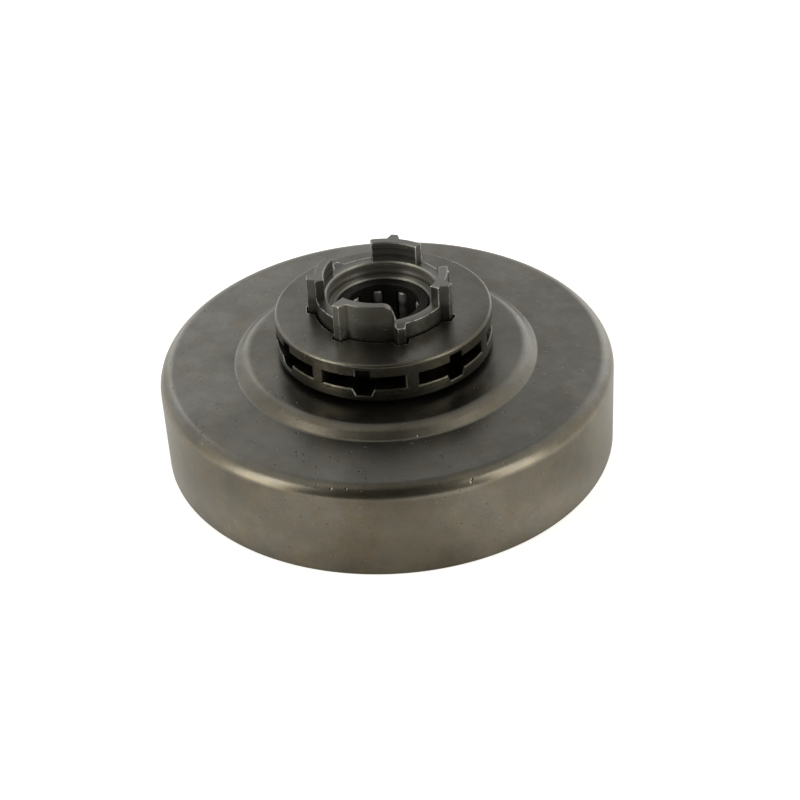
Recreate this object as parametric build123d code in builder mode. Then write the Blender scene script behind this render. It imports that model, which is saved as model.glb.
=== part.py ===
from build123d import *
from math import cos, radians, sin
import os

# A chain saw's clutch drum, in millimetres: a stamped cup, a splined hub with a slotted crown,
# a rim sprocket that floats on the splines, and a needle bearing in the hub's bore.
# Z is the crankshaft's axis. The cup stands on its open edge at Z = 0, and +Z points out of the hub.

# Stamped cup
DRUM_RADIUS = 39.5
DRUM_HEIGHT = 17.2
DRUM_WALL = 2.4
DRUM_CORNER_RADIUS = 2.6
DRUM_INNER_CORNER_RADIUS = 1.5
DRUM_EDGE_BREAK = 0.3
PLATEAU_RADIUS = 24.3
PLATEAU_STEP_RUN = 1.95
PLATEAU_RISE = 1.65
PLATEAU_BROW_RADIUS = 3.0
PLATEAU_FOOT_RADIUS = 0.7

# Splined hub, sized inwards and outwards from the spline's standard radius over its ribs
RIB_RADIUS = 12.7
RIB_HEIGHT = 1.35
RIB_COUNT = 7
RIB_TIP_WIDTH = 1.25
RIB_ROOT_WIDTH = 2.25
RIB_START_ANGLE = 180.0
HUB_NECK_STEP = 0.3
HUB_NECK_GAP = 0.02
HUB_END_BREAK = 0.4
COLLAR_WIDTH = 1.6
COLLAR_HEIGHT = 0.75
RING_HEIGHT = 10.2
COUNTERBORE_DEPTH = 2.3
LEDGE_WIDTH = 1.48
HUB_EDGE_BREAK = 0.25
LIP_GAP = 0.45
LIP_THICKNESS = 0.9

# Crown of four lugs, left standing between slots of uneven width
LUG_HEIGHT = 3.7
LUG_THICKNESS = 1.57
LUG_SETBACK = 0.28
LUG_CORNER_RADIUS = 2.0
SQUARE_SLOTS = {189.0: 38.5, 97.5: 49.0}
ROUNDED_SLOTS = {279.5: 46.3, 11.0: 39.5}
LUG_EDGE_BREAK = 0.15
SLOT_OVERRUN = 1.0

# Rim sprocket
RIM_CORE_WALL = 1.25
WINDOW_DEPTH = 4.35
RIM_THICKNESS = 7.2
RIM_SEAT_GAP = 0.05
RIM_EDGE_RADIUS = 0.5
SPLINE_ROOT_GAP = 0.4
SPLINE_TIP_GAP = 0.35
SPLINE_SIDE_GAP = 0.5
WEB_WIDTH = 2.25
WINDOW_HEIGHT = 2.4
NOTCH_WIDTH = 2.5
NOTCH_HEIGHT = 4.9
NOTCH_FLARE = 0.6
WINDOW_OVERRUN = 1.0
WINDOW_EDGE_BREAK = 0.2

# Needle bearing
ROLLER_COUNT = 9
ROLLER_RADIUS = 1.0
ROLLER_START_ANGLE = 17.0
ROLLER_END_BREAK = 0.15
RACE_GAP = 0.02
CAGE_LENGTH = 13.0
CAGE_END_RING = 1.4
CAGE_WALL = 1.7
CAGE_TOP_SETBACK = 0.1
CAGE_SEAT_GAP = 0.1
CAGE_EDGE_BREAK = 0.15
POCKET_SIDE_GAP = 0.05
POCKET_END_GAP = 0.1

# Two points nearer than this count as one
TOLERANCE = 0.001

# Levels along the axis
plateau_top = DRUM_HEIGHT + PLATEAU_RISE
collar_top = plateau_top + COLLAR_HEIGHT
ring_top = collar_top + RING_HEIGHT
crown_top = ring_top + LUG_HEIGHT
ledge = ring_top - COUNTERBORE_DEPTH
cage_top = ledge - CAGE_TOP_SETBACK
cage_bottom = cage_top - CAGE_LENGTH
lip_top = cage_bottom - CAGE_SEAT_GAP
hub_bottom = lip_top - LIP_THICKNESS
rim_bottom = collar_top + RIM_SEAT_GAP
rim_middle = rim_bottom + RIM_THICKNESS / 2
roller_bottom = cage_bottom + CAGE_END_RING + POCKET_END_GAP

# Radii from the spline inwards to the bearing
hub_root_radius = RIB_RADIUS - RIB_HEIGHT
lug_inner_radius = hub_root_radius - LUG_THICKNESS
counterbore_radius = lug_inner_radius - LUG_SETBACK
race_radius = counterbore_radius - LEDGE_WIDTH
roller_pitch_radius = race_radius - RACE_GAP - ROLLER_RADIUS
cage_outer_radius = roller_pitch_radius + CAGE_WALL / 2
cage_inner_radius = roller_pitch_radius - CAGE_WALL / 2
lip_radius = cage_inner_radius + LIP_GAP

# Radii from the spline outwards to the cup and the rim
hub_neck_radius = RIB_RADIUS + HUB_NECK_STEP
collar_radius = hub_neck_radius + COLLAR_WIDTH
rim_core_radius = RIB_RADIUS + SPLINE_TIP_GAP + RIM_CORE_WALL
rim_radius = rim_core_radius + WINDOW_DEPTH

# Sizes that follow from the fits
pocket_length = CAGE_LENGTH - 2 * CAGE_END_RING
pocket_width = 2 * (ROLLER_RADIUS + POCKET_SIDE_GAP)
roller_length = pocket_length - 2 * POCKET_END_GAP
rib_pitch = 360 / RIB_COUNT


def rib_outline(root_radius, tip_radius, side_gap):
    """One spline rib along +X, wide at its root; with a side gap, the groove that takes it."""
    flare = (RIB_ROOT_WIDTH - RIB_TIP_WIDTH) / 2 / RIB_HEIGHT
    tip = RIB_TIP_WIDTH / 2 - (tip_radius - RIB_RADIUS) * flare + side_gap
    foot_radius = root_radius - RIB_HEIGHT
    foot = RIB_TIP_WIDTH / 2 + (RIB_RADIUS - foot_radius) * flare + side_gap
    return [(foot_radius, -foot), (tip_radius, -tip), (tip_radius, tip), (foot_radius, foot)]


def on_window_mouth(edge):
    """True for an edge where a window or a notch breaks through the rim's outer face."""
    points = [edge @ 0, edge @ 0.5, edge @ 1]
    on_face = all(abs(Vector(p.X, p.Y).length - rim_radius) < TOLERANCE for p in points)
    return on_face and all(abs(p.Z - rim_middle) < NOTCH_HEIGHT / 2 + TOLERANCE for p in points)


# The cup is one sheet of even thickness, turned about the axis
with BuildPart() as drum:
    with BuildSketch(Plane.XZ) as cup_section:
        with BuildLine():
            FilletPolyline(
                (hub_neck_radius + HUB_NECK_GAP, plateau_top),
                (PLATEAU_RADIUS, plateau_top),
                (PLATEAU_RADIUS + PLATEAU_STEP_RUN, DRUM_HEIGHT),
                (DRUM_RADIUS, DRUM_HEIGHT),
                (DRUM_RADIUS, 0),
                radius=[PLATEAU_BROW_RADIUS, PLATEAU_FOOT_RADIUS, 0],
            )
            offset(amount=DRUM_WALL, side=Side.RIGHT)
        make_face()
        fillet(cup_section.vertices().group_by(Axis.X)[-1].sort_by(Axis.Y)[-1], DRUM_CORNER_RADIUS)
        fillet(cup_section.vertices().group_by(Axis.X)[-2].sort_by(Axis.Y)[-1], DRUM_INNER_CORNER_RADIUS)
    revolve(axis=Axis.Z)
    chamfer(drum.edges().group_by(Axis.Z)[0], DRUM_EDGE_BREAK)

# The hub is turned, splined outside, bored for the bearing and slotted at its crown
with BuildPart() as hub:
    with BuildSketch(Plane.XZ) as hub_section:
        with BuildLine():
            Polyline(
                (lip_radius, hub_bottom),
                (hub_neck_radius, hub_bottom),
                (hub_neck_radius, plateau_top),
                (collar_radius, plateau_top),
                (collar_radius, collar_top),
                (hub_root_radius, collar_top),
                (hub_root_radius, crown_top),
                (lug_inner_radius, crown_top),
                (lug_inner_radius, ring_top),
                (counterbore_radius, ring_top),
                (counterbore_radius, ledge),
                (race_radius, ledge),
                (race_radius, lip_top),
                (lip_radius, lip_top),
                close=True,
            )
        make_face()
    revolve(axis=Axis.Z)
    chamfer(hub.edges().group_by(Axis.Z)[0].sort_by(SortBy.RADIUS)[-1], HUB_END_BREAK)
    for level in (ledge, ring_top):
        turned_edges = hub.edges().filter_by_position(Axis.Z, level, level)
        chamfer(turned_edges.sort_by(SortBy.RADIUS)[0], HUB_EDGE_BREAK)
    with BuildSketch(Plane.XY.offset(collar_top)) as ribs:
        with PolarLocations(0, RIB_COUNT, start_angle=RIB_START_ANGLE):
            Polygon(*rib_outline(hub_root_radius, RIB_RADIUS, 0), align=None)
        Circle(lug_inner_radius, mode=Mode.SUBTRACT)
    extrude(amount=crown_top - collar_top)
    for start, width in (SQUARE_SLOTS | ROUNDED_SLOTS).items():
        reach = RIB_RADIUS + SLOT_OVERRUN
        with BuildSketch(Plane.XY.offset(ring_top)) as slot:
            with BuildLine():
                arc = CenterArc((0, 0), reach, start, width)
                Polyline(arc @ 1, (0, 0), arc @ 0)
            make_face()
        extrude(amount=LUG_HEIGHT, mode=Mode.SUBTRACT)
    for start in ROUNDED_SLOTS:
        outward = (cos(radians(start)), sin(radians(start)), 0)
        along_lug = (sin(radians(start)), -cos(radians(start)), 0)
        with BuildSketch(Plane((0, 0, crown_top), x_dir=along_lug, z_dir=outward)) as lug_corner:
            Rectangle(LUG_CORNER_RADIUS, LUG_CORNER_RADIUS, align=(Align.MIN, Align.MIN))
            with Locations((LUG_CORNER_RADIUS, LUG_CORNER_RADIUS)):
                Circle(LUG_CORNER_RADIUS, mode=Mode.SUBTRACT)
        extrude(amount=RIB_RADIUS + SLOT_OVERRUN, mode=Mode.SUBTRACT)
    chamfer(hub.edges().group_by(Axis.Z)[-1], LUG_EDGE_BREAK)

# The rim is a thick washer with grooves for the ribs, and windows between its webs for the chain
with BuildPart() as rim:
    with BuildSketch(Plane.XY.offset(rim_bottom)) as washer:
        Circle(rim_radius)
        Circle(hub_root_radius + SPLINE_ROOT_GAP, mode=Mode.SUBTRACT)
        with PolarLocations(0, RIB_COUNT, start_angle=RIB_START_ANGLE):
            groove = rib_outline(hub_root_radius, RIB_RADIUS + SPLINE_TIP_GAP, SPLINE_SIDE_GAP)
            Polygon(*groove, align=None, mode=Mode.SUBTRACT)
    extrude(amount=RIM_THICKNESS)
    fillet(rim.edges().filter_by(GeomType.CIRCLE).group_by(SortBy.RADIUS)[-1], RIM_EDGE_RADIUS)
    cut_depth = WINDOW_DEPTH + WINDOW_OVERRUN
    window_middle = rim_core_radius + cut_depth / 2
    flare_top = NOTCH_WIDTH / 2 + NOTCH_FLARE
    notch_flare = [
        (-NOTCH_WIDTH / 2, -NOTCH_HEIGHT / 2),
        (NOTCH_WIDTH / 2, -NOTCH_HEIGHT / 2),
        (flare_top, -WINDOW_HEIGHT / 2),
        (-flare_top, -WINDOW_HEIGHT / 2),
    ]
    with BuildSketch(Plane.XY.offset(rim_middle - WINDOW_HEIGHT / 2)) as windows:
        Circle(rim_radius + WINDOW_OVERRUN)
        Circle(rim_core_radius, mode=Mode.SUBTRACT)
        with PolarLocations(window_middle, RIB_COUNT, start_angle=RIB_START_ANGLE):
            Rectangle(2 * cut_depth, WEB_WIDTH, mode=Mode.SUBTRACT)
    extrude(amount=WINDOW_HEIGHT, mode=Mode.SUBTRACT)
    with BuildPart(mode=Mode.PRIVATE) as notch:
        with BuildSketch(Plane.YZ.offset(rim_core_radius)):
            with Locations((0, rim_middle)):
                Rectangle(NOTCH_WIDTH, NOTCH_HEIGHT)
                Polygon(*notch_flare, align=None)
        extrude(amount=cut_depth)
    with PolarLocations(0, RIB_COUNT, start_angle=RIB_START_ANGLE + rib_pitch / 2):
        add(notch.part, mode=Mode.SUBTRACT)
    chamfer(rim.edges().filter_by(on_window_mouth), WINDOW_EDGE_BREAK)

# The cage is a sleeve with one pocket for each roller
with BuildPart() as cage:
    with BuildSketch(Plane.XY.offset(cage_bottom)) as sleeve:
        Circle(cage_outer_radius)
        Circle(cage_inner_radius, mode=Mode.SUBTRACT)
    extrude(amount=CAGE_LENGTH)
    chamfer(cage.edges().filter_by(GeomType.CIRCLE), CAGE_EDGE_BREAK)
    with BuildSketch(Plane.XY.offset(cage_bottom + CAGE_END_RING)) as pockets:
        with PolarLocations(roller_pitch_radius, ROLLER_COUNT, start_angle=ROLLER_START_ANGLE):
            Rectangle(2 * CAGE_WALL, pocket_width)
    extrude(amount=pocket_length, mode=Mode.SUBTRACT)

os.makedirs("parts", exist_ok=True)
drum.part.label = "clutch_drum"
export_step(drum.part, "parts/clutch_drum.step")
hub.part.label = "spline_hub"
export_step(hub.part, "parts/spline_hub.step")
rim.part.label = "rim_sprocket"
export_step(rim.part, "parts/rim_sprocket.step")
cage.part.label = "bearing_cage"
export_step(cage.part, "parts/bearing_cage.step")

# Each needle roller stands in its own pocket
for number in range(1, ROLLER_COUNT + 1):
    angle = radians(ROLLER_START_ANGLE + (number - 1) * 360 / ROLLER_COUNT)
    foot = (roller_pitch_radius * cos(angle), roller_pitch_radius * sin(angle), roller_bottom)
    with BuildPart() as roller:
        with BuildSketch(Plane(foot)):
            Circle(ROLLER_RADIUS)
        extrude(amount=roller_length)
        chamfer(roller.edges().filter_by(GeomType.CIRCLE), ROLLER_END_BREAK)
    roller.part.label = f"roller_{number}"
    export_step(roller.part, f"parts/roller_{number}.step")
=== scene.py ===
# %% [markdown]
# # A chain saw's clutch drum with its rim sprocket
# The part is a stamped steel cup with a splined hub in its middle. A rim sprocket floats on the
# splines and carries the saw chain, and a needle bearing in the hub's bore runs on the crank.
# The exact shapes were modelled in CAD and packed as a frame. This script loads that frame and
# gives it the looks: finer turned surfaces, steel that is satin, oiled and worn, painted shade in
# its corners, recesses and some patches, painted highlights on its upturned edges, and a plain
# studio to see it in. All lengths are in metres.

# %% Load the frame
import bpy
from math import radians
from mathutils import Euler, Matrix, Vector


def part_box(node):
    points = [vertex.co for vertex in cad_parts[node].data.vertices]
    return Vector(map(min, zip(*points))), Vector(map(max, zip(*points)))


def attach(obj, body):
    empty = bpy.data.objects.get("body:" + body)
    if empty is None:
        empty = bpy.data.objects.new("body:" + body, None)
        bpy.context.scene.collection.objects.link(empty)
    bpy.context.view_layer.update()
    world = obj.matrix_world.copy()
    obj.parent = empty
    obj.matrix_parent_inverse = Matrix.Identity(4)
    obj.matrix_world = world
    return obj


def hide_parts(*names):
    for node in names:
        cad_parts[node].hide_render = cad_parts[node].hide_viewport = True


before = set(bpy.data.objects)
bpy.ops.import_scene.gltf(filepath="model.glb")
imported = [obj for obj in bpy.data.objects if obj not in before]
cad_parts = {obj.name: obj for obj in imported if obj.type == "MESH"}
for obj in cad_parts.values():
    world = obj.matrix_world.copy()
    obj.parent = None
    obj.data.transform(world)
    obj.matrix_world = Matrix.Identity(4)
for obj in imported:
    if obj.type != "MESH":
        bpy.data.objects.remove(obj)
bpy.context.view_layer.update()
scene = bpy.context.scene

# %% [markdown]
# ## Camera
# The picture was taken with a long lens from about 34 degrees above the bench, and the camera was
# rolled a few degrees. A long lens keeps the drum's ellipses nearly alike from front to back.

# %% Camera
CAMERA_PLACE = (0.0, -0.27908, 0.20232)
CAMERA_TURN = (54.9409, 2.8534, -2.4005)
LENS_MM = 86.53
SENSOR_MM = 36.0
NEAREST_SEEN = 0.01

camera = bpy.data.objects.new("camera", bpy.data.cameras.new("camera"))
camera.location = CAMERA_PLACE
camera.rotation_euler = Euler([radians(angle) for angle in CAMERA_TURN], "XYZ")
camera.data.lens = LENS_MM
camera.data.sensor_width = SENSOR_MM
camera.data.clip_start = NEAREST_SEEN
scene.collection.objects.link(camera)
scene.camera = camera
print("camera", round(Vector(CAMERA_PLACE).length, 3), "m from the part's origin")

# %% [markdown]
# ## Node helpers
# Every finish and every turned piece below is a small network of nodes. A helper that adds a
# node, sets its properties and sets or links its inputs keeps each network short enough to read.

# %% Node helpers
def fill(tree, socket, value):
    """Set a socket to a constant, or link it to another socket."""
    if isinstance(value, bpy.types.NodeSocket):
        tree.links.new(value, socket)
    else:
        socket.default_value = value


def add(tree, kind, inputs=None, **settings):
    """Add a node; a kind without the word Node is a shader node."""
    made = tree.nodes.new(kind if "Node" in kind else "ShaderNode" + kind)
    for key, value in settings.items():
        setattr(made, key, value)
    for key, value in (inputs or {}).items():
        fill(tree, made.inputs[key], value)
    return made


def calc(tree, operation, first, second=0.0):
    """One step of arithmetic."""
    return add(tree, "Math", {0: first, 1: second}, operation=operation).outputs[0]


def spread(tree, value, low, high, to_low=0.0, to_high=1.0, straight=False):
    """Carry a value from one range to another, and hold it at the ends."""
    span = {"Value": value, "From Min": low, "From Max": high, "To Min": to_low, "To Max": to_high}
    way = "LINEAR" if straight else "SMOOTHSTEP"
    return add(tree, "MapRange", span, interpolation_type=way).outputs[0]


def tint(tree, factor, first, second, way="MIX"):
    """Mix two colours by a factor."""
    mixed = add(tree, "Mix", {0: factor, 6: first, 7: second}, data_type="RGBA", blend_type=way)
    return mixed.outputs[2]


def noise(tree, place, size, detail=2.0, rough=0.5):
    """Soft noise whose blobs are about size metres across."""
    inputs = {"Vector": place, "Scale": 1.0 / size, "Detail": detail, "Roughness": rough}
    return add(tree, "TexNoise", inputs).outputs[0]


def colour(red, green, blue):
    """A colour without transparency."""
    return (red, green, blue, 1.0)


def empty(owner):
    """The node tree of a material or a sky, cleared."""
    owner.use_nodes = True
    owner.node_tree.nodes.clear()
    return owner.node_tree


print("node helpers for", bpy.app.version_string)

# %% [markdown]
# ## The base of every steel
# All the pieces are steel, but no two have the same finish. A photographed texture would fix one
# light into the colour, so each finish is a network of nodes instead. All start alike: a dark satin
# tone that varies in clouds, blotches and a fine grain, with a brown bloom of old heat and rust.

# %% Base of the steel
CLOUD_SIZE, BLOTCH_SIZE, GRAIN_SIZE, BLOOM_SIZE = 0.012, 0.0035, 0.00025, 0.0045
CLOUD_SHARE, BLOTCH_SHARE, GRAIN_SHARE = 0.6, 0.4, 0.35
BLOOM_TINT = (1.0, 0.86, 0.7)


def locate(tree):
    """Where a point is on the part: its place, its reach from the axis and its height."""
    place = add(tree, "TexCoord").outputs["Object"]
    height = add(tree, "SeparateXYZ", {0: place}).outputs["Z"]
    level = {0: place, 1: (1.0, 1.0, 0.0)}
    flat = add(tree, "VectorMath", level, operation="MULTIPLY").outputs[0]
    reach = add(tree, "VectorMath", {0: flat}, operation="LENGTH").outputs["Value"]
    return place, reach, height


def mottled(tree, place):
    """Clouds, blotches and grain mixed into one; the blotches and the grain are used again."""
    cloud = noise(tree, place, CLOUD_SIZE, 5.0, 0.6)
    blotch = noise(tree, place, BLOTCH_SIZE, 4.0, 0.65)
    grain = noise(tree, place, GRAIN_SIZE, 3.0, 0.6)
    cloud = calc(tree, "MULTIPLY", cloud, CLOUD_SHARE)
    mottle = calc(tree, "ADD", cloud, calc(tree, "MULTIPLY", blotch, BLOTCH_SHARE))
    speck = calc(tree, "MULTIPLY", calc(tree, "SUBTRACT", grain, 0.5), GRAIN_SHARE)
    return calc(tree, "ADD", mottle, speck), blotch, grain


def satin(tree, place, mottle, dark, light, bloom):
    """The bare tone, from dark to light, with its brown bloom."""
    tone = tint(tree, spread(tree, mottle, 0.35, 0.65), colour(*dark), colour(*light))
    brown = spread(tree, noise(tree, place, BLOOM_SIZE, 5.0, 0.7), 0.48, 0.66, 0.0, bloom)
    return tint(tree, brown, tone, tint(tree, 1.0, tone, colour(*BLOOM_TINT), "MULTIPLY"))


print("steel varies from", GRAIN_SIZE * 1000, "mm to", CLOUD_SIZE * 1000, "mm")

# %% [markdown]
# ## Oil, cut rings and painted shade patches
# What is special to one piece is given by place. The part is turned, so two numbers say where a
# point is: its reach from the axis and its height. An oil film lies below a height, in a ragged
# stain; on the rollers the same film is painted shade. A zone gives a ring of the surface its own
# tone, such as the hub's clean counterbore with its turning marks and painted glints, or the painted
# shade inside the rim's windows. A shade patch lays painted shadow and painted dark reflection over
# a round patch. Painted masks would do the same, but they need unwrapped surfaces, and these stay
# sharp at any distance.

# %% Oil, rings and painted shade patches
STAIN_SIZE, GROOVE_SIZE = 0.0011, 0.0005
FILM_EDGE = 0.0003
PATCH_SHADE_TONE = (0.06, 0.052, 0.036)


def band(tree, value, low, high, fade):
    """1 from low to high, fading to 0 outside."""
    rise = spread(tree, value, low - fade, low)
    return calc(tree, "MULTIPLY", rise, spread(tree, value, high + fade, high))


def oil_film(tree, tone, blotch, place, reach, height, film):
    """Tint the metal by a film that lies below a height and beyond a reach."""
    ragged = calc(tree, "ADD", blotch, noise(tree, place, STAIN_SIZE, 3.0, 0.7))
    stain = spread(tree, ragged, 0.75, 1.3, 0.4, 1.0)
    low = spread(tree, height, film["below"], film["below"] - film["fade"])
    low = calc(tree, "MULTIPLY", low, stain)
    outside = spread(tree, reach, film["beyond"], film["beyond"] + FILM_EDGE)
    low = calc(tree, "MULTIPLY", low, outside)
    return tint(tree, low, tone, tint(tree, 1.0, tone, colour(*film["tint"]), "MULTIPLY"))


def ring(tree, tone, reach, height, zone):
    """Give a ring of the surface its own tone, in fine grooves where it was turned."""
    wide = band(tree, reach, *zone["reach"])
    share = calc(tree, "MULTIPLY", wide, band(tree, height, *zone["height"]))
    ring_tone = colour(*zone["tone"])
    if zone["turned"]:
        lathe = add(tree, "CombineXYZ", {0: reach, 1: height}).outputs[0]
        groove = spread(tree, noise(tree, lathe, GROOVE_SIZE, 3.0, 0.7), 0.35, 0.6)
        ring_tone = tint(tree, groove, tone, ring_tone)
    return tint(tree, calc(tree, "MULTIPLY", share, zone["strength"]), tone, ring_tone)


def shade_patch(tree, tone, place, x, y, z, radius, strength):
    """Lay painted shade over a ball-shaped patch round a point."""
    span = {0: place, 1: (x, y, z)}
    away = add(tree, "VectorMath", span, operation="DISTANCE").outputs["Value"]
    shaded = calc(tree, "MULTIPLY", spread(tree, away, radius, radius * 0.5), strength)
    return tint(tree, shaded, tone, colour(*PATCH_SHADE_TONE))


print("oil stains of", STAIN_SIZE * 1000, "mm, turning marks of", GROOVE_SIZE * 1000, "mm")

# %% [markdown]
# ## Dents, worn and lit edges and painted corner shade
# A used drum has small dents with a few bright nicks and edges rubbed bright; on edges that face up
# the brightening is also a painted highlight, and its corners get painted shade. Dents are spots in
# random cells. Worn edges are found by looking a fraction of a millimetre into the metal, and the
# painted corner shade by looking two millimetres out of it, so both stay with the shape.

# %% Dents, edges and painted corner shade
CELLS_PER_METRE = 900.0
EDGE_WIDTH, SHADE_REACH, LOOKS = 0.0003, 0.002, 8
WEAR_SIZE = 0.0009
SOOT_AND_SHADE_TONE = (0.006, 0.005, 0.004)
DENT_TONE = (0.02, 0.018, 0.015)
EDGE_TONE = (0.95, 0.93, 0.87)


def pits(tree, place, dents):
    """Dents, and nicks that are half as many."""
    cells = add(tree, "TexVoronoi", {"Vector": place, "Scale": CELLS_PER_METRE}, feature="F1")
    chance = add(tree, "SeparateColor", {0: cells.outputs["Color"]}).outputs[0]
    spot = spread(tree, cells.outputs["Distance"], 0.25, 0.08)
    dented = calc(tree, "LESS_THAN", chance, dents)
    nicked = calc(tree, "GREATER_THAN", chance, 1.0 - 0.5 * dents)
    return calc(tree, "MULTIPLY", spot, dented), calc(tree, "MULTIPLY", spot, nicked)


def worn_and_lit_edge(tree, place, facing):
    """How bright an edge is made, as wear and as a painted highlight on edges that face up; facing is
    the range of tilts where it begins.
    """
    look = {"Distance": EDGE_WIDTH}
    inner = add(tree, "AmbientOcclusion", look, inside=True, only_local=True, samples=LOOKS)
    up = add(tree, "SeparateXYZ", {0: add(tree, "NewGeometry").outputs["Normal"]}).outputs["Z"]
    sharp = spread(tree, inner.outputs["AO"], 0.8, 0.5)
    edge = calc(tree, "MULTIPLY", sharp, spread(tree, up, *facing))
    return calc(tree, "MULTIPLY", edge, spread(tree, noise(tree, place, WEAR_SIZE, 3.0), 0.3, 0.55))


def painted_corner_shade(tree, corner_shade):
    """How much painted shade falls where the surface closes in."""
    outer = add(tree, "AmbientOcclusion", {"Distance": SHADE_REACH}, samples=LOOKS)
    return calc(tree, "MULTIPLY", spread(tree, outer.outputs["AO"], 0.75, 0.2), corner_shade)


print("worn edges look", EDGE_WIDTH * 1000, "mm in, grime looks", SHADE_REACH * 1000, "mm out")

# %% [markdown]
# ## Steel
# One recipe makes all the finishes: the bare tone, film and cut rings first, then dents and worn,
# partly lit edges, then painted shade patches and painted corner shade over all of it. Worn edges
# and the shaded corners are a little rougher than clean metal, and grain and dents go into a
# shallow bump, because they are too small to model.

# %% Steel
DENT_SHARE, NICK_SHARE = 0.35, 0.06
MOTTLE_ROUGHNESS, SHADE_AND_WEAR_ROUGHNESS = 0.1, 0.15
BUMP_HEIGHT, PIT_DEPTH = 0.000004, 9.0


def polish(tree, roughness, mottle, shade_and_wear):
    """Roughness that follows the mottle and rises on worn edges and in the painted corner shade."""
    matt = calc(tree, "ADD", roughness, calc(tree, "MULTIPLY", mottle, MOTTLE_ROUGHNESS))
    return calc(tree, "ADD", matt, calc(tree, "MULTIPLY", shade_and_wear, SHADE_AND_WEAR_ROUGHNESS))


def relief(tree, grain, pitted):
    """A shallow bump of grain and pits."""
    sunk = calc(tree, "SUBTRACT", grain, calc(tree, "MULTIPLY", pitted, PIT_DEPTH))
    shape = {"Strength": 1.0, "Distance": BUMP_HEIGHT, "Height": sunk}
    return add(tree, "Bump", shape).outputs[0]


def steel(name, dark, light, roughness, metal=1.0, dents=0.2, bloom=0.4, corner_shade=0.8,
          edge_tone=EDGE_TONE, edge_facing=(-0.2, 0.4), film=None, zones=(), shade_patches=()):
    """A finish of this recipe."""
    material = bpy.data.materials.new(name)
    tree = empty(material)
    place, reach, height = locate(tree)
    mottle, blotch, grain = mottled(tree, place)
    tone = satin(tree, place, mottle, dark, light, bloom)
    if film:
        tone = oil_film(tree, tone, blotch, place, reach, height, film)
    for one in zones:
        tone = ring(tree, tone, reach, height, one)
    dent, nick = pits(tree, place, dents)
    tone = tint(tree, calc(tree, "MULTIPLY", dent, DENT_SHARE), tone, colour(*DENT_TONE))
    tone = tint(tree, calc(tree, "MULTIPLY", nick, NICK_SHARE), tone, colour(*edge_tone))
    # Worn edges are brightened here; where they face up, the brightening is also a painted highlight.
    worn_and_lit = worn_and_lit_edge(tree, place, edge_facing)
    tone = tint(tree, worn_and_lit, tone, colour(*edge_tone))
    # Each patch lays painted shade.
    for patch in shade_patches:
        tone = shade_patch(tree, tone, place, *patch)
    # Corners and recesses are darkened here as painted shade.
    corner = painted_corner_shade(tree, corner_shade)
    tone = tint(tree, corner, tone, colour(*SOOT_AND_SHADE_TONE))
    surface = add(tree, "BsdfPrincipled", {
        "Base Color": tone, "Metallic": metal,
        "Roughness": polish(tree, roughness, mottle, calc(tree, "ADD", corner, worn_and_lit)),
        "Normal": relief(tree, grain, calc(tree, "ADD", dent, nick))})
    add(tree, "OutputMaterial", {"Surface": surface.outputs[0]})
    print("steel finish", name, "has", len(tree.nodes), "nodes")
    return material


print("bump of", BUMP_HEIGHT * 1e6, "micrometres")

# %% [markdown]
# ## The drum's finish
# The cup is satin from pressing and tumbling. Its wall has a straw-coloured oil film up to the
# corner, and patches of painted shade lie over the plateau round the rim, on the front of its top
# and at the foot of its front wall. A patch is its centre, radius and strength.

# %% Drum's finish
finishes = {}
finishes["clutch_drum"] = steel(
    "satin_drum_steel", (0.163, 0.158, 0.145), (0.222, 0.216, 0.198), 0.25, corner_shade=0.5,
    film={"tint": (0.98, 0.895, 0.77), "below": 0.0168, "fade": 0.0012, "beyond": 0.0},
    # The patches paint shade and dark reflections round the rim, on the front of the top and at the
    # wall's foot.
    shade_patches=[(-0.02, -0.025, 0.0172, 0.018, 0.33), (0.021, -0.026, 0.0172, 0.018, 0.3),
            (0.0, 0.0, 0.0186, 0.034, 0.3), (0.001, -0.038, 0.0215, 0.014, 0.35),
            (-0.0225, 0.002, 0.019, 0.0068, 0.2), (0.0, -0.042, -0.003, 0.017, 0.3)])

# %% [markdown]
# ## The hub's finish
# The hub is dark, with a sooty film outside. Its counterbore, ring and lug tops are bright, where
# the tool last cut them, and the lip between bore and counterbore is the brightest, turned bright
# and with painted glints on its wall and top edge. Two patches paint shade down the front lug. A
# zone is two spans, of reach and of height, and the third number of a span is how far it fades.

# %% Hub's finish
CUT_TONE = (0.42, 0.42, 0.41)
CUT_AND_GLINT_TONE = (0.52, 0.52, 0.5)


def zone(tone, strength, reach, height, turned=False):
    """A ring of the surface with a tone of its own."""
    return {"tone": tone, "strength": strength, "reach": reach, "height": height, "turned": turned}


finishes["spline_hub"] = steel(
    "turned_hub_steel", (0.09, 0.09, 0.086), (0.138, 0.138, 0.132), 0.3, metal=0.9,
    edge_tone=(0.95, 0.94, 0.91), edge_facing=(-0.7, 0.1),
    film={"tint": (0.45, 0.465, 0.44), "below": 0.0306, "fade": 0.0018, "beyond": 0.0111},
    zones=[zone(CUT_TONE, 0.2, (0.0099, 0.0109, 0.0003), (0.0294, 0.0299, 0.0003), turned=True),
           zone(CUT_TONE, 0.5, (0.0, 0.0094, 0.0001), (0.0272, 0.0297, 0.0002), turned=True),
           # The lip zones are turned bright and also paint glints on the counterbore's wall and top
           # edge.
           zone(CUT_AND_GLINT_TONE, 1.0, (0.0095, 0.00975, 0.0001), (0.0276, 0.0297, 0.0002), turned=True),
           zone(CUT_TONE, 0.65, (0.0, 0.00975, 0.00015), (0.03, 0.04, 0.0003), turned=True),
           zone(CUT_TONE, 0.25, (0.00985, 0.02, 0.0001), (0.0335, 0.04, 0.0002)),
           zone(CUT_AND_GLINT_TONE, 0.15, (0.0094, 0.00975, 0.0002), (0.0294, 0.0299, 0.0003))],
    # These patches paint shade down the front lug.
    shade_patches=[(0.0, -0.0125, 0.0345, 0.006, 0.25), (0.0, -0.0165, 0.031, 0.009, 0.35)])
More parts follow.
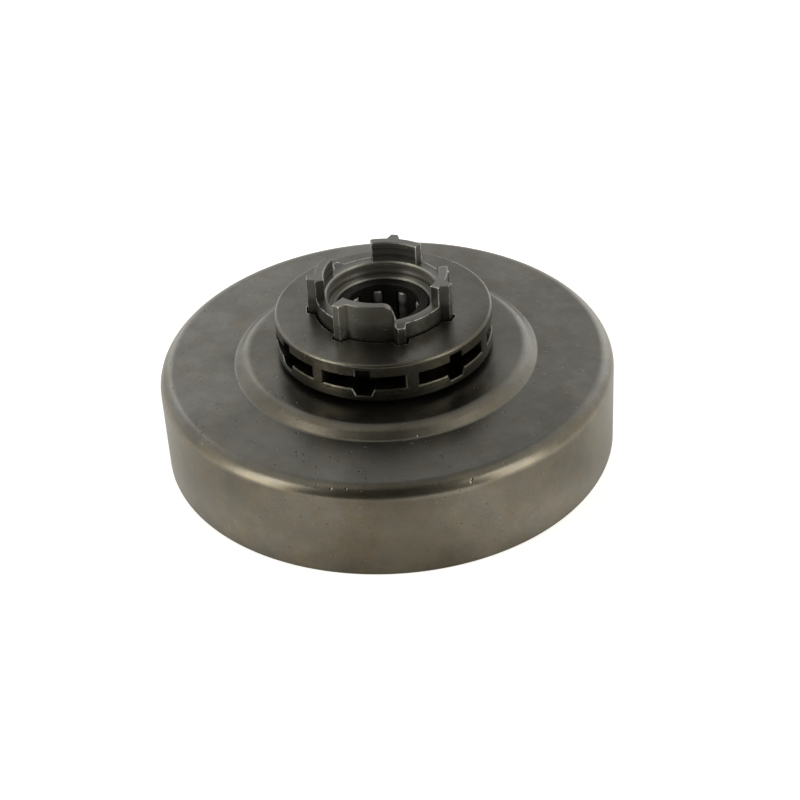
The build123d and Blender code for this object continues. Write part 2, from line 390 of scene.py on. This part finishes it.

# %% [markdown]
# ## The rim sprocket's finish
# The rim is hardened, so it wears less than the rest. Its wall is oily, the insides of its windows
# are darkened as painted shade, its lower flange is cooler and darker, its top edge is rubbed by
# the chain, and patches paint shade over its front.

# %% Rim's finish
RUB_TONE = (0.38, 0.37, 0.34)
COLD_TONE = (0.034, 0.039, 0.039)
finishes["rim_sprocket"] = steel(
    "hardened_rim_steel", (0.13, 0.126, 0.116), (0.18, 0.175, 0.16), 0.27,
    edge_tone=(0.55, 0.54, 0.5),
    film={"tint": (0.405, 0.4, 0.365), "below": 0.0268, "fade": 0.0002, "beyond": 0.0},
    # This zone paints shade inside the rim's windows.
    zones=[zone(SOOT_AND_SHADE_TONE, 0.6, (0.0, 0.0164, 0.002), (0.0209, 0.0256, 0.0002)),
           zone(COLD_TONE, 0.55, (0.0164, 0.03, 0.001), (0.015, 0.0207, 0.0006)),
           zone(RUB_TONE, 0.15, (0.0184, 0.02, 0.0001), (0.02655, 0.03, 0.0001))],
    # These patches paint shade over the rim's front.
    shade_patches=[(0.024, -0.0105, 0.0265, 0.0125, 0.7), (0.016, -0.021, 0.0265, 0.0125, 0.65),
            (0.0, -0.0264, 0.0265, 0.0125, 0.6)])

# %% [markdown]
# ## The bearing's finishes
# The needle bearing's cage is blackened, and its top ring is darker still. The rollers are ground
# bright, but all except their tops are darkened as painted shade of the deep bore, which is why only
# their ends glint.

# %% Bearing's finishes
finishes["bearing_cage"] = steel(
    "blackened_cage_steel", (0.04, 0.04, 0.042), (0.065, 0.065, 0.067), 0.45, metal=0.9, corner_shade=0.2,
    edge_tone=(0.1, 0.1, 0.1),
    zones=[zone(SOOT_AND_SHADE_TONE, 0.75, (0.0, 0.009, 0.0001), (0.02725, 0.03, 0.0001))])
finishes["roller"] = steel(
    "ground_roller_steel", (0.4, 0.4, 0.39), (0.48, 0.48, 0.47), 0.4, metal=0.6, dents=0.0,
    bloom=0.2, corner_shade=0.2,
    # Below the tops this film is painted shade of the deep bore.
    film={"tint": (0.12, 0.12, 0.12), "below": 0.0247, "fade": 0.0012, "beyond": 0.0})

# %% [markdown]
# ## Finishes on the CAD pieces
# The hub, the rim and the cage keep their CAD shapes, so the finishes go straight onto them. The
# cup and the rollers get theirs too, although finer turned pieces stand in for them below.

# %% Finishes on the CAD pieces
for node_name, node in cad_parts.items():
    finish = finishes["roller" if node_name.startswith("roller") else node_name]
    node.data.materials.clear()
    node.data.materials.append(finish)
print("finishes on", len(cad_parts), "CAD nodes")

# %% [markdown]
# ## Turning on a lathe
# The drum's cup and the needle rollers are turned: one section, carried round an axis. A mesh
# could be spun in code, but a tree of Geometry Nodes keeps the sizes as named inputs, so the same
# tree turns nine rollers. The section's corners come from sizes, each is rounded by its own
# radius, and Curve to Mesh carries the section round a circle.

# %% A section
ROUND_STEPS = 12


def begin(name, sizes):
    """Start a geometry tree with a named input for each size."""
    tree = bpy.data.node_groups.new(name, "GeometryNodeTree")
    for size in sizes:
        tree.interface.new_socket(size, in_out="INPUT", socket_type="NodeSocketFloat")
    tree.interface.new_socket("Mesh", in_out="OUTPUT", socket_type="NodeSocketGeometry")
    return tree, add(tree, "NodeGroupInput").outputs


def by_corner(tree, kind, values):
    """A field that gives each corner of the section its own value."""
    index = add(tree, "GeometryNodeInputIndex").outputs[0]
    pick = add(tree, "GeometryNodeIndexSwitch", data_type=kind)
    while len(pick.index_switch_items) < len(values):
        pick.index_switch_items.new()
    for socket, value in zip(pick.inputs, [index] + list(values)):
        fill(tree, socket, value)
    return pick.outputs[0]


def outline(tree, corners, rounds, pivot, closed):
    """A curve through (radius, height) corners, each rounded; its origin is at the pivot's radius."""
    places = []
    for radius, height in corners:
        flat = {0: calc(tree, "SUBTRACT", radius, pivot), 1: calc(tree, "MULTIPLY", height, -1.0)}
        places.append(add(tree, "CombineXYZ", flat).outputs[0])
    dots = add(tree, "GeometryNodePoints", {"Count": len(corners)}).outputs[0]
    line = add(tree, "GeometryNodePointsToCurves", {0: dots}).outputs[0]
    moved = {0: line, "Position": by_corner(tree, "VECTOR", places)}
    line = add(tree, "GeometryNodeSetPosition", moved).outputs[0]
    line = add(tree, "GeometryNodeSetSplineCyclic", {0: line, "Cyclic": closed}).outputs[0]
    arcs = {"Curve": line, "Count": ROUND_STEPS, "Radius": by_corner(tree, "FLOAT", rounds),
            "Limit Radius": True}
    return add(tree, "GeometryNodeFilletCurve", arcs, mode="POLY").outputs[0]


print("a section's rounds have", ROUND_STEPS, "steps")

# %% [markdown]
# ## From section to piece
# The circle's normals are held upright, so the section does not twist on its way round. Faces are
# shaded smooth except over crisp edges. The result is kept as a plain mesh, because the pieces
# have to travel without the tree.

# %% From section to piece
SAME_POINT = 0.000001
CRISP_BEND = radians(25.0)


def turn(tree, corners, rounds, pivot, segments, closed):
    """Carry a section round the Z axis and shade it."""
    section = outline(tree, corners, rounds, pivot, closed)
    around = {"Resolution": segments, "Radius": pivot}
    circle = add(tree, "GeometryNodeCurvePrimitiveCircle", around).outputs[0]
    circle = add(tree, "GeometryNodeSetCurveNormal", {0: circle}, mode="Z_UP").outputs[0]
    swept = {"Curve": circle, "Profile Curve": section}
    skin = add(tree, "GeometryNodeCurveToMesh", swept).outputs[0]
    skin = add(tree, "GeometryNodeMergeByDistance", {0: skin, "Distance": SAME_POINT}).outputs[0]
    angle = add(tree, "GeometryNodeInputMeshEdgeAngle").outputs[0]
    smooth = {0: skin, "Shade Smooth": True}
    skin = add(tree, "GeometryNodeSetShadeSmooth", smooth, domain="FACE").outputs[0]
    crisp = {0: skin, "Selection": calc(tree, "GREATER_THAN", angle, CRISP_BEND),
             "Shade Smooth": False}
    return add(tree, "GeometryNodeSetShadeSmooth", crisp, domain="EDGE").outputs[0]


def end(tree, mesh, material):
    """Close a tree with real geometry and its finish."""
    real = add(tree, "GeometryNodeRealizeInstances", {0: mesh}).outputs[0]
    done = add(tree, "GeometryNodeSetMaterial", {0: real, "Material": material}).outputs[0]
    add(tree, "NodeGroupOutput", {0: done})


def make(name, tree, sizes):
    """Run a tree with these sizes and keep the result as a plain mesh."""
    piece = bpy.data.objects.new(name, bpy.data.meshes.new(name))
    scene.collection.objects.link(piece)
    shape = piece.modifiers.new("shape", "NODES")
    shape.node_group = tree
    for socket in tree.interface.items_tree:
        if socket.in_out == "INPUT":
            shape[socket.identifier] = sizes[socket.name]
    piece.modifiers.new("even_normals", "WEIGHTED_NORMAL").keep_sharp = True
    ready = piece.evaluated_get(bpy.context.evaluated_depsgraph_get())
    mesh = bpy.data.meshes.new_from_object(ready)
    piece.modifiers.clear()
    piece.data = mesh
    mesh.name = name
    return piece


print("edges are crisp from a bend of", round(CRISP_BEND, 3), "radians")

# %% [markdown]
# ## The cup's section
# The clutch's shoes swing out against the inside of this cup. It is pressed from one sheet, so its
# inner section runs parallel to its outer one: where the sheet slopes up to the plateau, the inner
# corners lie half the bend's angle further in, and the inner rounds at the foot and brow are the
# outer ones plus or minus the wall. The tree works those out, so besides the outer sizes and the
# wall only the inner corner's round is an input.

# %% Cup's section
CUP_SEGMENTS = 256
cup_sizes = {
    "Radius": 0.0395, "Height": 0.0172, "Wall": 0.0024, "Hole radius": 0.01302,
    "Plateau radius": 0.0243, "Slope run": 0.00195, "Plateau rise": 0.00165,
    "Corner round": 0.0026, "Inner corner round": 0.0015, "Brow round": 0.003,
    "Foot round": 0.0007, "Edge round": 0.0003}
cup_tree, size = begin("turned_cup", cup_sizes)
bend = calc(cup_tree, "ARCTAN2", size["Plateau rise"], size["Slope run"])
half_bend = calc(cup_tree, "TANGENT", calc(cup_tree, "MULTIPLY", bend, 0.5))
lean = calc(cup_tree, "MULTIPLY", size["Wall"], half_bend)
top = calc(cup_tree, "ADD", size["Height"], size["Plateau rise"])
under = calc(cup_tree, "SUBTRACT", top, size["Wall"])
ceiling = calc(cup_tree, "SUBTRACT", size["Height"], size["Wall"])
inside = calc(cup_tree, "SUBTRACT", size["Radius"], size["Wall"])
foot = calc(cup_tree, "ADD", size["Plateau radius"], size["Slope run"])
inner_foot = calc(cup_tree, "SUBTRACT", foot, lean)
inner_brow = calc(cup_tree, "SUBTRACT", size["Plateau radius"], lean)
section = [
    (size["Hole radius"], top, 0.0),
    (size["Plateau radius"], top, size["Brow round"]),
    (foot, size["Height"], size["Foot round"]),
    (size["Radius"], size["Height"], size["Corner round"]),
    (size["Radius"], 0.0, size["Edge round"]),
    (inside, 0.0, size["Edge round"]),
    (inside, ceiling, size["Inner corner round"]),
    (inner_foot, ceiling, calc(cup_tree, "ADD", size["Foot round"], size["Wall"])),
    (inner_brow, under, calc(cup_tree, "SUBTRACT", size["Brow round"], size["Wall"])),
    (size["Hole radius"], under, 0.0),
]
print("the cup's section has", len(section), "corners")

# %% [markdown]
# ## The cup
# The section is closed, so turning it gives a solid sheet. The cup stands for the CAD's drum, whose
# facets are coarser, and moves with the same body.

# %% Cup
corners = [corner[:2] for corner in section]
rounds = [corner[2] for corner in section]
skin = turn(cup_tree, corners, rounds, size["Radius"], CUP_SEGMENTS, True)
end(cup_tree, skin, finishes["clutch_drum"])
cup = make("turned_cup", cup_tree, cup_sizes)
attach(cup, "drum")
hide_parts("clutch_drum")
print("cup:", len(cup.data.polygons), "faces")

# %% [markdown]
# ## The needle rollers
# Nine hardened needles carry the drum on the crank. Their ends are crowned, which is what glints
# inside the bore above the painted shade. The section is open here, because it begins and ends on
# the axis.
# Each needle rolls by itself, so each is a piece of its own from the same tree.

# %% Roller's tree
ROLLER_SEGMENTS = 32
roller_tree, size = begin("needle_roller", [
    "Radius", "Length", "Crown round", "Bottom", "Pitch radius", "Angle"])
tall = calc(roller_tree, "ADD", size["Bottom"], size["Length"])
corners = [(0.0, tall), (size["Radius"], tall), (size["Radius"], size["Bottom"]),
           (0.0, size["Bottom"])]
rounds = [0.0, size["Crown round"], size["Crown round"], 0.0]
skin = turn(roller_tree, corners, rounds, size["Radius"], ROLLER_SEGMENTS, False)
across, along = [
    calc(roller_tree, "MULTIPLY", size["Pitch radius"], calc(roller_tree, part, size["Angle"]))
    for part in ("COSINE", "SINE")]
spot = add(roller_tree, "CombineXYZ", {0: across, 1: along}).outputs[0]
skin = add(roller_tree, "GeometryNodeTransform", {0: skin, "Translation": spot}).outputs[0]
end(roller_tree, skin, finishes["roller"])
print("the roller's tree has", len(roller_tree.nodes), "nodes")

# %% [markdown]
# ## Nine needles
# A needle's height is read from its CAD node, and its place is its share of the circle.

# %% Rollers
ROLLER_COUNT = 9
ROLLER_START = 17.0
ROLLER_RADIUS, CROWN_ROUND, PITCH_RADIUS = 0.001, 0.0004, 0.007
for number in range(ROLLER_COUNT):
    body = "roller_%d" % (number + 1)
    low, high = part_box(body)
    needle = make("needle_" + body, roller_tree, {
        "Radius": ROLLER_RADIUS, "Length": high[2] - low[2], "Crown round": CROWN_ROUND,
        "Bottom": low[2], "Pitch radius": PITCH_RADIUS,
        "Angle": radians(ROLLER_START + number * 360.0 / ROLLER_COUNT)})
    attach(needle, body)
    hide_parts(body)
print("rollers:", ROLLER_COUNT, "of", len(needle.data.polygons), "faces")

# %% [markdown]
# ## The bench
# The drum was photographed on a pale surface that shows white. Polished steel is mostly what it
# mirrors, so the bench's glow in reflections is told apart from its white to the camera.

# %% Bench
FLOOR_HALF = 2.0
BENCH_DROP = -0.00005
floor_mesh = bpy.data.meshes.new("bench")
edge = FLOOR_HALF
corners = [(-edge, -edge, 0), (edge, -edge, 0), (edge, edge, 0), (-edge, edge, 0)]
floor_mesh.from_pydata(corners, [], [(0, 1, 2, 3)])
floor = bpy.data.objects.new("bench", floor_mesh)
floor.location.z = BENCH_DROP
scene.collection.objects.link(floor)
print("bench", 2 * FLOOR_HALF, "m wide")

# %% [markdown]
# ## How the bench glows
# Close to the drum the glow varies from left to right in painted pools of the lamps' light and the
# drum's shadow, which lay soft streaks on the wall, and right at the wall it is dimmed as a painted
# contact shadow. Further off it is bright at both sides and dim in the middle, where the camera
# stood.

# %% Bench's glow
GLOW_HALF = 0.06
# The glow's rises and dips are painted pools of the lamps' light and the drum's shadow.
NEAR_GLOW = {-0.06: 0.5, -0.045: 0.38, -0.036: 0.8, -0.02: 0.33, 0.0: 0.12, 0.02: 0.36,
             0.032: 0.9, 0.043: 0.38, 0.06: 0.85}
bench = bpy.data.materials.new("pale_bench")
tree = empty(bench)
spot = add(tree, "TexCoord").outputs["Object"]
across, along = add(tree, "SeparateXYZ", {0: spot}).outputs[:2]
away = add(tree, "VectorMath", {0: spot}, operation="LENGTH").outputs["Value"]
share = spread(tree, across, -GLOW_HALF, GLOW_HALF, straight=True)
near = add(tree, "FloatCurve", {"Value": share})
draw = near.mapping.curves[0].points
draw[0].location = (0.0, NEAR_GLOW[-GLOW_HALF])
draw[1].location = (1.0, NEAR_GLOW[GLOW_HALF])
for x, height in NEAR_GLOW.items():
    if abs(x) < GLOW_HALF:
        draw.new(0.5 + x / (2 * GLOW_HALF), height)
near.mapping.update()
left = spread(tree, across, -0.035, -0.075, 0.0, 0.7)
right = spread(tree, across, -0.01, 0.06, 0.1, 1.0)
far = calc(tree, "ADD", left, right)
far = calc(tree, "MULTIPLY", far, spread(tree, along, 0.02, -0.06, 0.75, 1.25))
# At the drum's wall the glow is dimmed as a painted contact shadow.
near_shadowed = calc(tree, "MULTIPLY", near.outputs[0], spread(tree, away, 0.0395, 0.045, 0.6, 1.0))
sides = add(tree, "Mix", {0: spread(tree, away, 0.06, 0.09), 2: near_shadowed, 3: far}).outputs[0]
print("the glow changes at", len(NEAR_GLOW), "places from left to right")

# %% [markdown]
# ## The bench's surface
# The camera sees the full glow, a mirrored ray sees the glow of its side, and a matte layer under
# both takes the lamps' light.

# %% Bench's surface
GLOW_STRENGTH = 0.65
path = add(tree, "LightPath").outputs
seen = calc(tree, "MAXIMUM", path["Is Camera Ray"], path["Is Transmission Ray"])
seen = calc(tree, "MAXIMUM", seen, calc(tree, "MULTIPLY", path["Is Glossy Ray"], sides))
glow = add(tree, "Emission", {"Strength": calc(tree, "MULTIPLY", seen, GLOW_STRENGTH)})
matte = add(tree, "BsdfDiffuse", {"Color": colour(0.8, 0.8, 0.79)})
both = add(tree, "AddShader", {0: glow.outputs[0], 1: matte.outputs[0]})
add(tree, "OutputMaterial", {"Surface": both.outputs[0]})
floor.data.materials.append(bench)
print("the bench's finish has", len(tree.nodes), "nodes")

# %% [markdown]
# ## The sky
# The room is white round the horizon, dimmer overhead and just right of the middle, and dark on
# the camera's side, which the front of the plateau mirrors. Two bright panels stand at the back; a
# panel is its direction in degrees, half width, top and strength. The light grows warmer to the
# front. To the camera itself the sky is plain white.

# %% Sky
PANELS = [(117.0, 7.0, 0.7, 0.75), (56.0, 16.0, 0.5, 0.75)]
world = bpy.data.worlds.new("studio")
scene.world = world
tree = empty(world)
direction = add(tree, "TexCoord").outputs["Generated"]
way = add(tree, "SeparateXYZ", {0: direction}).outputs
middle = spread(tree, calc(tree, "ABSOLUTE", way["X"]), 0.36, 0.05)
overhead = calc(tree, "MULTIPLY", spread(tree, way["Z"], 0.4, 1.0), middle)
level = spread(tree, overhead, 0.0, 1.0, 0.95, 0.3)
for low, high, at_low, at_high in [(-0.6, -0.1, 0.95, 1.0), (-0.07, 0.07, 0.98, 0.7),
                                   (0.1, 0.5, 1.0, 1.42)]:
    level = calc(tree, "MULTIPLY", level, spread(tree, way["X"], low, high, at_low, at_high))
for azimuth, half, top, strength in PANELS:
    turned = {"Vector": direction, "Angle": radians(-azimuth)}
    toward = add(tree, "VectorRotate", turned, rotation_type="Z_AXIS").outputs[0]
    ahead = add(tree, "SeparateXYZ", {0: toward}).outputs
    angle = calc(tree, "ABSOLUTE", calc(tree, "ARCTAN2", ahead["Y"], ahead["X"]))
    wide = spread(tree, angle, radians(half) * 1.5, radians(half) * 0.5)
    panel = calc(tree, "MULTIPLY", wide, spread(tree, way["Z"], top + 0.1, top - 0.1))
    level = calc(tree, "ADD", level, calc(tree, "MULTIPLY", panel, strength))
shade = spread(tree, way["X"], 0.15, 0.45, 0.09, 0.2)
front = add(tree, "Mix", {0: spread(tree, way["Y"], -0.1, -0.45), 2: 1.0, 3: shade}).outputs[0]
level = calc(tree, "MULTIPLY", level, front)
white = add(tree, "LightPath").outputs["Is Camera Ray"]
level = calc(tree, "MAXIMUM", level, white)
unseen = calc(tree, "SUBTRACT", 1.0, white)
warmth = calc(tree, "MULTIPLY", spread(tree, way["Y"], 0.6, 0.0), unseen)
glow_tone = tint(tree, warmth, colour(1.0, 1.0, 0.97), colour(1.0, 0.93, 0.76))
back = add(tree, "Background", {"Color": glow_tone, "Strength": level})
add(tree, "OutputWorld", {"Surface": back.outputs[0]})
print("sky with", len(PANELS), "panels,", len(tree.nodes), "nodes")

# %% [markdown]
# ## The softboxes
# Two tall strip lamps stand on the bench at the left and right. They put the bright streaks on the
# drum's corner and wall. Area lamps give soft edges, which a spot would not. Each has a direction
# in degrees and a power in watts.

# %% Softboxes
SOFTBOXES = {"left": (207.0, 1.68), "right": (327.0, 1.45)}
LAMP_DISTANCE, LAMP_WIDTH, LAMP_HEIGHT = 0.5, 0.21, 0.55
LAMP_COLOUR = (1.0, 0.965, 0.85)
for side, (azimuth, power) in SOFTBOXES.items():
    lamp = bpy.data.lights.new("softbox_" + side, "AREA")
    lamp.shape = "RECTANGLE"
    lamp.size = LAMP_WIDTH
    lamp.size_y = LAMP_HEIGHT
    lamp.energy = power
    lamp.color = LAMP_COLOUR
    box = bpy.data.objects.new("softbox_" + side, lamp)
    aim = Euler((0, 0, radians(azimuth))).to_matrix() @ Vector((1, 0, 0))
    box.location = aim * LAMP_DISTANCE + Vector((0, 0, LAMP_HEIGHT / 2))
    box.rotation_euler = aim.to_track_quat("Z", "Y").to_euler()
    scene.collection.objects.link(box)
print("studio: bench, sky and", len(SOFTBOXES), "softboxes")

# %% [markdown]
# ## Finish
# The plain view keeps the tones as they are set.

# %% Finish
scene.view_settings.view_transform = "Standard"
